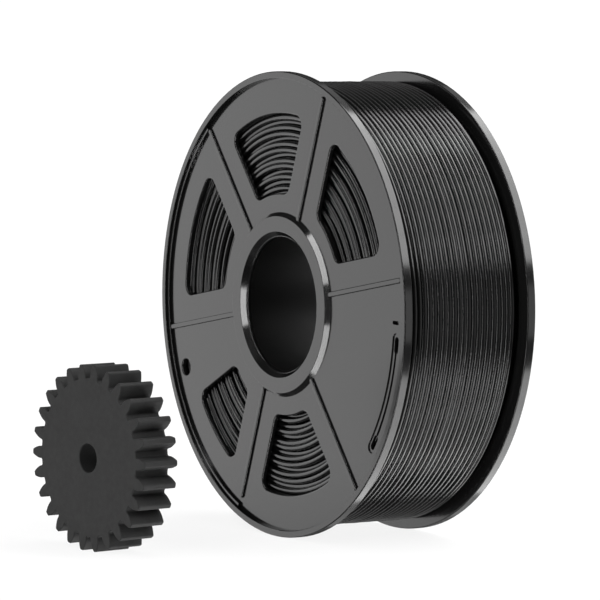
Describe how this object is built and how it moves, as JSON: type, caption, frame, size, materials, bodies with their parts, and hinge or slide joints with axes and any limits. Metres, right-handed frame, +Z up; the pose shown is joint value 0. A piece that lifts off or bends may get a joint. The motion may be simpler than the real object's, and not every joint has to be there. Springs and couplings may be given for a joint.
{
  "type": "filament spool with printed gear",
  "caption": "Plastic filament spool with ribbed, windowed side plates, full of wound filament, and a printed spur gear standing beside it.",
  "frame": {"origin": "centre of the spindle bore at the spool's mid-width", "axes": "+Y along the spindle bore from the front side plate to the rear one, +Z up"},
  "size_m": [0.2, 0.1634, 0.2],
  "materials": {
    "spool_plastic": "satin moulded, black",
    "hub_plastic": "matt moulded, black",
    "filament": "semi-gloss extruded, black",
    "printed_plastic": "matt, fibre-filled"
  },
  "bodies": {
    "spool_core": {"hub_core": "hub_plastic", "wound_filament": "filament"},
    "front_plate": {"front_side_plate": "spool_plastic"},
    "rear_plate": {"rear_side_plate": "spool_plastic"},
    "gear": {"printed_gear": "printed_plastic"}
  },
  "joints": [
    {"name": "front_plate_pull", "type": "slide", "parent": "spool_core", "child": "front_plate", "axis": [0, -1, 0], "range_m": [0, 0.06]},
    {"name": "rear_plate_pull", "type": "slide", "parent": "spool_core", "child": "rear_plate", "axis": [0, 1, 0], "range_m": [0, 0.06]},
    {"name": "gear_lift", "type": "slide", "parent": "spool_core", "child": "gear", "axis": [0, 0, 1], "range_m": [0, 0.21]}
  ]
}
